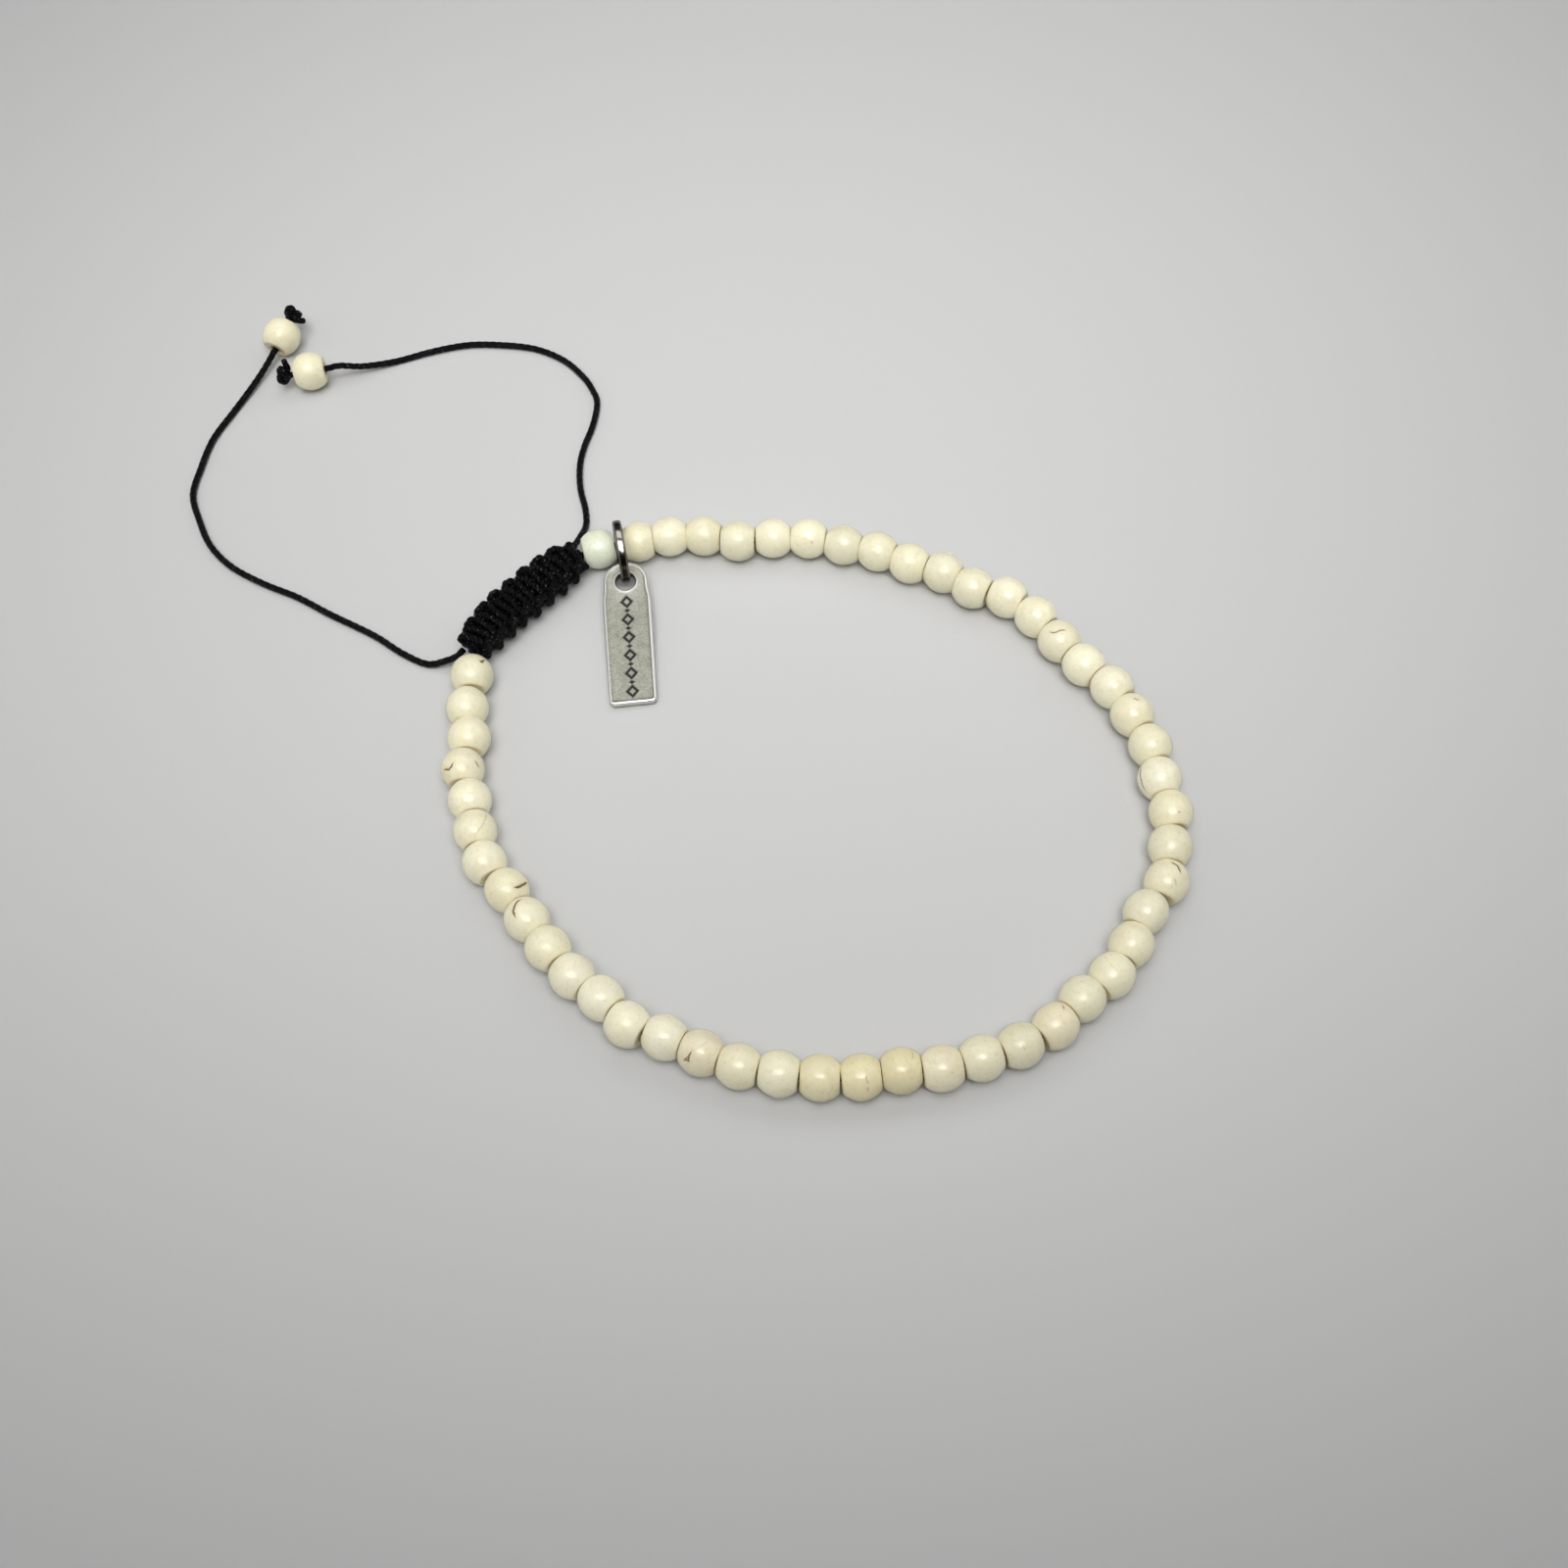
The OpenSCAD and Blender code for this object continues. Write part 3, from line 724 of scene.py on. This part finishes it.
front, behind = [], []
for n in range(KNOTS):
    t0 = t_first + n * step
    side = 1 if n % 2 == 0 else -1
    for dt, u, w in ((-0.14, -2.08, -0.32), (0.14, -2.08, -0.32), (0.30, -1.93, 0.45), (0.40, -1.24, 1.10),
                     (0.50, 0.0, 1.36), (0.60, 1.24, 1.10), (0.70, 1.93, 0.45)):
        front.append(jog((t0 + dt * step, side * u, w)))
    for dt, u, w in ((0.0, 1.86, 1.16), (0.44, 1.86, 1.02), (0.70, 1.68, 0.40), (0.76, 1.46, -0.40),
                     (0.68, 0.95, -1.05), (0.50, 0.0, -1.32), (0.32, -0.95, -1.05), (0.24, -1.46, -0.40),
                     (0.30, -1.68, 0.40), (0.56, -1.86, 1.02)):
        behind.append(jog((t0 + dt * step, side * u, w)))
last_side = 1 if (KNOTS - 1) % 2 == 0 else -1
t_end = t_first + KNOTS * step
front.append((t_end, last_side * 2.0, -0.2))
behind.append((t_end, -last_side * 1.6, 0.9))


def in_sleeve(P):
    """From (along, across, over) in the sleeve to the part's frame."""
    P = np.asarray(P, float)
    t = np.clip(P[:, 0], 0, T)
    c = at(sleeve_line, sleeve_s, t)
    a, b = at(sleeve_line, sleeve_s, t - 0.6), at(sleeve_line, sleeve_s, t + 0.6)
    d = b - a
    d /= np.linalg.norm(d, axis=1)[:, None]
    over = np.maximum(0, -P[:, 0]) * -1 + np.maximum(0, P[:, 0] - T)
    share = np.interp(t / T, np.linspace(0, 1, 60), sleeve_share)
    wide = 0.62 + 0.38 * np.clip((share - 0.62) / 0.38, 0, 1)
    u = P[:, 1] * wide
    w = P[:, 2] * (0.82 + 0.18 * wide)
    return np.stack([c[:, 0] + d[:, 0] * over - d[:, 1] * u, c[:, 1] + d[:, 1] * over + d[:, 0] * u,
                     SLEEVE_Z + w], -1)


heap = Heap()
for k, line in enumerate((front, behind)):
    P = even(in_sleeve(curve(line, 7)), 0.085)
    v, f, g, s = tube(P, WORK_R, 16, plies=2, lay=0.95, groove=0.30, phase=k)
    heap.add(v, f, groove=g)
for k, (u, w, r, a, b) in enumerate(((-0.42, 0.42, .45, -0.1, 0.45), (0.42, 0.40, .45, 0.0, 0.5),
                                     (-0.40, -0.42, .45, 0.1, 0.3), (0.42, -0.42, .45, 0.0, 0.4),
                                     (-1.42, -0.12, .60, 0.4, -0.2), (1.42, -0.12, .60, 0.4, -0.2),
                                     (-1.62, 0.46, .44, 0.5, -0.3), (1.62, 0.46, .44, 0.5, -0.3))):
    P = even(in_sleeve([(t, u, w) for t in np.linspace(a, T + b, 30)]), 0.25)
    v, f, g, s = tube(P, r, 12, plies=3, lay=2.4, groove=0.17, phase=k)
    heap.add(v, f, groove=g)
piece(heap.make("macrame_sleeve"), CORD, "waxed_cord", "macrame_slide")


# ---- stopper knots -----------------------------------------------------------------------

for side, end, roll, stub in (("left", END_LEFT, 25, 1.5), ("right", END_RIGHT, -35, 1.3)):
    h = math.radians(end[2])
    ax = beyond(end, 1) - beyond(end, 0)
    lf = np.array([-math.sin(h), math.cos(h), 0])
    up = np.cross(ax, lf)
    r = math.radians(roll)
    e2 = lf * math.cos(r) + up * math.sin(r)
    e3 = up * math.cos(r) - lf * math.sin(r)
    size = 0.255
    turns = np.linspace(-2.36, 2.36, 90)
    core = np.stack([np.cos(turns) - 2 * np.cos(2 * turns), np.sin(turns) + 2 * np.sin(2 * turns),
                     -1.30 * np.sin(3 * turns)], -1) * size
    mid = 1.65 + 0.16 + 1.0
    pts = [(-1.10, 0.0, 0.0), (-0.90, 0.05, 0.0)]
    tail = [(-0.42, core[-1][1] * 1.15, 0.1), (-0.50, core[-1][1] * 1.15 + 0.35 * np.sign(core[-1][1]), 0.35),
            (-0.35, core[-1][1] * 1.15 + (0.35 + 0.5 * stub) * np.sign(core[-1][1]), 0.75)]
    line = pts + [tuple(c) for c in core[::5]] + tail
    P = even(curve(line, 6), 0.09)
    P = beyond(end, 0) + (P[:, :1] + mid) * ax + P[:, 1:2] * e2 + P[:, 2:3] * e3
    v, f, g, s = tube(P, CORD_R - 0.01, 14, plies=3, lay=2.2, groove=0.18, tip=(0.1, 0.6))
    heap = Heap()
    heap.add(v, f, groove=g)
    piece(heap.make("stopper_knot_" + side), CORD, "waxed_cord", "end_knot_" + side)

for obj, path, side in ((tail_left, path_left, "left"), (tail_right, path_right, "right")):
    length = float(run(path)[-1])
    print("CORD", side, round(length, 2), "mm, tube of", len(path), "points")


# ---- jump ring -----------------------------------------------------------------------------

ring_h = heading(ring_s)
ring_p = on_loop(ring_s) + SWAY[1] * np.array([-math.sin(ring_h), math.cos(ring_h)])
inward = np.array([math.sin(ring_h), -math.cos(ring_h)])
WIRE, BAND, RING_MID, LEAN, RING_TURN = 0.6, 0.92, 5.75, math.radians(2), math.radians(2)
ring_out, ring_in_r = (RING_MID + WIRE) / 2, (RING_MID - WIRE) / 2
ring_z = ring_out + SMALL
ring_shift = math.sqrt((ring_in_r - CORD_R - SMALL) ** 2 - (ring_z - BEAD_R) ** 2)
along = np.array([math.cos(ring_h), math.sin(ring_h), 0])
ring_up = np.array([0, 0, 1.0]) * math.cos(LEAN) + along * math.sin(LEAN)
leaned = along * math.cos(LEAN) - np.array([0, 0, 1.0]) * math.sin(LEAN)
to_tag = np.array([*inward, 0]) * math.cos(RING_TURN) - leaned * math.sin(RING_TURN)
ring_axis = leaned * math.cos(RING_TURN) + np.array([*inward, 0]) * math.sin(RING_TURN)
ring_c = np.array([*ring_p, BEAD_R]) + to_tag * ring_shift + ring_up * (ring_z - BEAD_R)
cut = math.radians(205)          # where the wire's two ends meet, from straight up, inwards
half_gap = 0.035 / (RING_MID / 2)
n_round, n_wire = 170, 36
turn_a = np.linspace(cut + half_gap, cut + 2 * math.pi - half_gap, n_round)
wire_a = (np.arange(n_wire) + 0.5) * 2 * math.pi / n_wire
rows = [(turn_a[0], 0.55), (turn_a[0], 0.9)] + [(t, 1.0) for t in turn_a] + [(turn_a[-1], 0.9), (turn_a[-1], 0.55)]
verts, worn, edge = [], [], []
for t, share in rows:
    radial = ring_up * math.cos(t) + to_tag * math.sin(t)
    x = WIRE / 2 * np.cos(wire_a) * share
    y = (WIRE / 2 * np.sin(wire_a) + np.sign(np.sin(wire_a)) * (BAND - WIRE) / 2) * share
    verts.append(ring_c + radial * (RING_MID / 2) + x[:, None] * radial + y[:, None] * ring_axis)
    front = math.atan2(math.sin(t), math.cos(t))
    # painted highlight: the top of the ring, tipped towards the tag, gets brighter metal where the overhead light
    # falls
    worn.append(np.full(n_wire, max(0.0, min(1.0, 1.6 - abs(front - math.radians(12)) / math.radians(24)))))
    # painted reflection: lighter stripes along both edges of the band's outer face
    edge.append(np.exp(-((np.degrees(np.arcsin(np.abs(np.sin(wire_a)))) - 40) / 20) ** 2) * (np.cos(wire_a) > 0))
faces = grid_faces(len(rows), n_wire)
faces.append(tuple(range(n_wire))[::-1])
faces.append(tuple((len(rows) - 1) * n_wire + k for k in range(n_wire)))
heap = Heap()
heap.add(np.concatenate(verts), faces, worn=np.concatenate(worn), edge=np.concatenate(edge))
piece(heap.make("split_jump_ring"), GUNMETAL, "dark_metal", "jump_ring")


# ---- tag --------------------------------------------------------------------------------------

TAG_LEN, TAG_W, END_W, HEAD_W, TAG_T, HOLE_R, HOLE_IN = 15.4, 4.75, 4.6, 4.4, 0.8, 1.01, 1.75
TILT, TURN, REACH, ASIDE = math.radians(5.5), math.radians(0.95), 4.62, 0.25
FAR = TAG_LEN - HOLE_IN
RIM_H, RIM_W, ENGRAVE = 0.08, 0.30, 0.12
w2, e2, h2 = TAG_W / 2, END_W / 2, HEAD_W / 2

right_side = [(e2, 0.5), (e2 + (w2 - e2) * 0.35, 4.0), (e2 + (w2 - e2) * 0.75, 8.0), (w2, FAR - 2.4), (w2 * 0.995, FAR - 1.95),
              (w2 * 0.975, FAR - 1.5), (h2 * 1.018, FAR - 1.1), (h2 * 1.002, FAR - 0.7), (h2, FAR - 0.35), (h2, FAR)]
outline = []
for a in np.linspace(-math.pi / 2, 0, 9):
    outline.append((e2 - 0.5 + 0.5 * math.cos(a), 0.5 + 0.5 * math.sin(a)))
outline += [tuple(p) for p in curve(right_side, 6)[1:]]
for a in np.linspace(0, math.pi, 40)[1:-1]:
    outline.append((h2 * math.cos(a), FAR + h2 * math.sin(a)))
half = outline
mirror = [(-x, y) for x, y in half[:len(half) - 38][::-1]]
outline = np.array(half + mirror)
rim_s = run(np.vstack([outline, outline[:1]]))
closed = np.vstack([outline, outline[:1]])
n_out = round(rim_s[-1] / 0.16)
ring0 = at(closed, rim_s, np.arange(n_out) * rim_s[-1] / n_out)
tang = np.roll(ring0, -1, 0) - np.roll(ring0, 1, 0)
tang /= np.linalg.norm(tang, axis=1)[:, None]
inner_n = np.stack([-tang[:, 1], tang[:, 0]], -1)

rings = [ring0 + inner_n * d for d in (0.0, 0.012, 0.035, 0.07, 0.115, 0.165, 0.22, 0.27, 0.33, 0.39)]
loops = [("out", r) for r in rings]
for rr in (HOLE_R, HOLE_R + 0.012, HOLE_R + 0.04, HOLE_R + 0.09, HOLE_R + 0.15, HOLE_R + 0.3):
    a = np.arange(56) * 2 * math.pi / 56
    loops.append(("hole", np.stack([rr * np.cos(a), FAR + rr * np.sin(a)], -1)))
# the ornament: (middle of a diamond, half width, half height, whether it is an open diamond's inside)
ART = []
for k in range(6):
    ART.append((1.3 + 2 * k, 0.66, 0.74, False))
    ART.append((1.3 + 2 * k, 0.32, 0.35, True))
    if k < 5:
        ART.append((2.3 + 2 * k, 0.30, 0.22, False))
for yc, hw, hh, inside_one in ART:
    apothem = hw * hh / math.hypot(hw, hh)
    for off in (0.03, 0.0, -0.035):
        grow = 1 + (-off if inside_one else off) / apothem
        corner = [(hw * grow, 0), (0, hh * grow), (-hw * grow, 0), (0, -hh * grow)]
        pts = []
        per = 9 if hw > 0.3 else 4
        for a_, b_ in zip(corner, corner[1:] + corner[:1]):
            pts += [(a_[0] + (b_[0] - a_[0]) * q / per, yc + a_[1] + (b_[1] - a_[1]) * q / per) for q in range(per)]
        loops.append(("art", np.array(pts)))


def to_outline(q):
    best = np.full(len(q), 1e9)
    for a_, b_ in zip(closed, closed[1:]):
        d = b_ - a_
        t = np.clip(((q - a_) @ d) / max(d @ d, 1e-12), 0, 1)
        best = np.minimum(best, np.linalg.norm(q - a_ - t[:, None] * d, axis=1))
    return best


def art_distance(q):
    """Distance outside the engraved lines, negative within them."""
    best = np.full(len(q), 1e9)
    for k, (yc, hw, hh, inside_one) in enumerate(ART):
        if inside_one:
            continue
        d = (np.abs(q[:, 0]) / hw + np.abs(q[:, 1] - yc) / hh - 1) * hw * hh / math.hypot(hw, hh)
        if k + 1 < len(ART) and ART[k + 1][3]:
            w_, h_ = ART[k + 1][1:3]
            d = np.maximum(d, -(np.abs(q[:, 0]) / w_ + np.abs(q[:, 1] - yc) / h_ - 1) * w_ * h_ / math.hypot(w_, h_))
        best = np.minimum(best, d)
    return best


def hole_distance(q):
    return np.hypot(q[:, 0], q[:, 1] - FAR) - HOLE_R


GRID = 0.125
gx, gy = np.meshgrid(np.arange(-2.3, 2.31, GRID), np.arange(0.1, TAG_LEN, GRID * 0.87), indexing="ij")
gx = gx + (np.arange(gx.shape[1]) % 2)[None] * GRID / 2
q = np.stack([gx.ravel(), gy.ravel()], -1)
inside = np.abs(q[:, 0]) < np.where(q[:, 1] > FAR, np.sqrt(np.maximum(0, h2 ** 2 - (q[:, 1] - FAR) ** 2)), w2)
q = q[inside]
q = q[(to_outline(q) > 0.47) & (hole_distance(q) > 0.36) & (np.abs(art_distance(q)) > 0.07)]
verts2, edges2 = [], []
for kind, ring in loops:
    base = len(verts2)
    verts2 += [Vector((float(x), float(y))) for x, y in ring]
    n = len(ring)
    edges2 += [(base + k, base + (k + 1) % n) for k in range(n)]
verts2 += [Vector((float(x), float(y))) for x, y in q]
cv, ce, cf, *_ = delaunay_2d_cdt(verts2, edges2, [], 0, 1e-6)
cv = np.array([(p[0], p[1]) for p in cv])
tri = np.array([list(f) for f in cf])
mid = cv[tri].mean(1)
hole_ok = hole_distance(mid) > -0.004
area = np.abs(np.cross(cv[tri[:, 1]] - cv[tri[:, 0]], cv[tri[:, 2]] - cv[tri[:, 0]]))
in_shape = np.abs(mid[:, 0]) < np.where(mid[:, 1] > FAR, 99, w2 + 1)
keep = hole_ok & in_shape & (area > 1e-9)
# outside the outline the hull leaves slivers: keep what is inside the polygon


def in_polygon(p, poly):
    out = np.zeros(len(p), bool)
    for (x1, y1), (x2, y2) in zip(poly, np.roll(poly, -1, 0)):
        cross_ = ((y1 > p[:, 1]) != (y2 > p[:, 1])) & (p[:, 0] < (x2 - x1) * (p[:, 1] - y1) / (y2 - y1 + 1e-15) + x1)
        out ^= cross_
    return out


keep &= in_polygon(mid, ring0)
tri = tri[keep]
# counterclockwise seen from above
turned = np.cross(cv[tri[:, 1]] - cv[tri[:, 0]], cv[tri[:, 2]] - cv[tri[:, 0]]) < 0
tri[turned] = tri[turned][:, ::-1]
used = np.unique(tri)
index = np.full(len(cv), -1)
index[used] = np.arange(len(used))
cv, tri = cv[used], index[tri]

d_out, d_hole, d_art = to_outline(cv), hole_distance(cv), art_distance(cv)


def rounded(d, r):
    d = np.clip(d, 0, r)
    return r - np.sqrt(np.maximum(0, r * r - (r - d) ** 2))


def step_between(x, a, b):
    t = np.clip((x - a) / (b - a), 0, 1)
    return t * t * (3 - 2 * t)


wave = 0.008 * np.sin(cv[:, 1] * 1.1 + 0.5) * np.cos(cv[:, 0] * 1.3) + 0.005 * np.sin(cv[:, 1] * 3.1 + cv[:, 0] * 2.3)
recess = step_between(d_out, RIM_W - 0.09, RIM_W + 0.12) * step_between(d_hole, 0.12, 0.40)
engraved = step_between(-d_art, 0.0, 0.03)
top = TAG_T - 0.8 * rounded(d_out, 0.20) - rounded(d_hole, 0.10) - 0.7 * RIM_H * recess - ENGRAVE * engraved + wave * recess * 0.6
low = rounded(d_out, 0.09) + rounded(d_hole, 0.09)
black = step_between(-d_art, -0.012, 0.012)
patina = 0.12 * np.exp(-((d_out - RIM_W - 0.06) / 0.12) ** 2) + 0.35 * np.exp(-((d_art - 0.03) / 0.04) ** 2) * (d_art > 0)
patina = np.clip(patina + 0.5 * np.exp(-(d_hole / 0.08) ** 2), 0, 0.75)
worn = (0.9 * (1 - step_between(d_out, 0.16, 0.29)) + 0.40 * np.exp(-((d_hole - 0.10) / 0.08) ** 2)
        + 0.20 * np.exp(-(d_hole / 1.5) ** 2))
worn = np.clip(worn, 0, 0.95)

pos = ring_p + inward * REACH - ASIDE * np.array([math.cos(ring_h), math.sin(ring_h)])
place = (Matrix.Translation((pos[0], pos[1], SMALL)) @ Matrix.Rotation(TURN, 4, "Z")
         @ Matrix.Translation((0, -FAR * math.cos(TILT), 0)) @ Matrix.Rotation(TILT, 4, "X"))
R3 = np.array(place.to_3x3())
t3 = np.array(place.translation)
n2 = len(cv)
sheet_top = np.column_stack([cv, top])
sheet_low = np.column_stack([cv, low])
faces = [tuple(f) for f in tri] + [tuple(n2 + k for k in f[::-1]) for f in tri]
count = {}
for f in tri:
    for a_, b_ in ((f[0], f[1]), (f[1], f[2]), (f[2], f[0])):
        count[(a_, b_)] = count.get((a_, b_), 0) + 1
border = [(a_, b_) for (a_, b_) in count if (b_, a_) not in count]
faces += [(b_, a_, n2 + a_, n2 + b_) for a_, b_ in border]
V = np.vstack([sheet_top, sheet_low]) @ R3.T + t3
heap = Heap()
zero = np.zeros(n2)
low_worn = np.clip(1 - np.abs(d_out - 0.10) / 0.12, 0, 1) * 0.6
heap.add(V, faces, black=np.concatenate([black, zero]), patina=np.concatenate([patina, zero + 0.10]),
         worn=np.concatenate([worn, low_worn]))
piece(heap.make("engraved_tag"), SILVER, "antique_silver", "tag")


# ---- floor and light --------------------------------------------------------------------------

floor_mesh = bpy.data.meshes.new("floor")
S = 1.5
floor_mesh.from_pydata([(-S, -S, 0), (S, -S, 0), (S, S, 0), (-S, S, 0)], [], [(0, 1, 2, 3)])
floor = bpy.data.objects.new("floor", floor_mesh)
scene.collection.objects.link(floor)
floor.location.z = -0.00001
fm, fnt, fp = principled("pale_floor")
fp.inputs["Base Color"].default_value = (0.56, 0.56, 0.56, 1)
fp.inputs["Roughness"].default_value = 0.65
fp.inputs["Specular IOR Level"].default_value = 0.3
floor_mesh.materials.append(fm)

world = bpy.data.worlds.new("studio")
scene.world = world
world.use_nodes = True
bg = world.node_tree.nodes["Background"]
bg.inputs["Color"].default_value = (0.95, 0.97, 1.0, 1)
bg.inputs["Strength"].default_value = 0.02


def area(name, where, aim, size, power, colour=(1, 1, 1), beam=180):
    data = bpy.data.lights.new(name, "AREA")
    data.shape = "RECTANGLE"
    data.size, data.size_y = size
    data.energy = power
    data.color = colour
    data.spread = math.radians(beam)
    obj = bpy.data.objects.new(name, data)
    scene.collection.objects.link(obj)
    obj.location = where
    obj.rotation_mode = "QUATERNION"
    obj.rotation_quaternion = (Vector(aim) - Vector(where)).to_track_quat("-Z", "Y")
    return obj


area("key", (-0.015, -0.045, 0.30), (-0.005, 0.065, 0), (0.26, 0.20), 0.18, (1.0, 0.997, 0.99), 66)
area("front", (0.022, -0.066, 0.156), (0, 0.055, 0), (0.046, 0.046), 0.0085, (1.0, 0.998, 0.99), 90)
area("back", (0, 0.17, 0.27), (0, 0, 0), (0.26, 0.16), 0.20, (1.0, 0.998, 0.99))
area("left", (-0.38, -0.16, 0.26), (0, 0, 0), (0.25, 0.25), 0.17, (1.0, 1.0, 1.0))
area("left_back", (-0.36, 0.12, 0.26), (0, 0, 0), (0.25, 0.25), 0.19, (1.0, 1.0, 1.0))
area("right_back", (0.36, 0.14, 0.26), (0, 0, 0), (0.25, 0.25), 0.33, (0.99, 0.995, 1.0))

scene.view_settings.view_transform = "Standard"
scene.view_settings.look = "None"
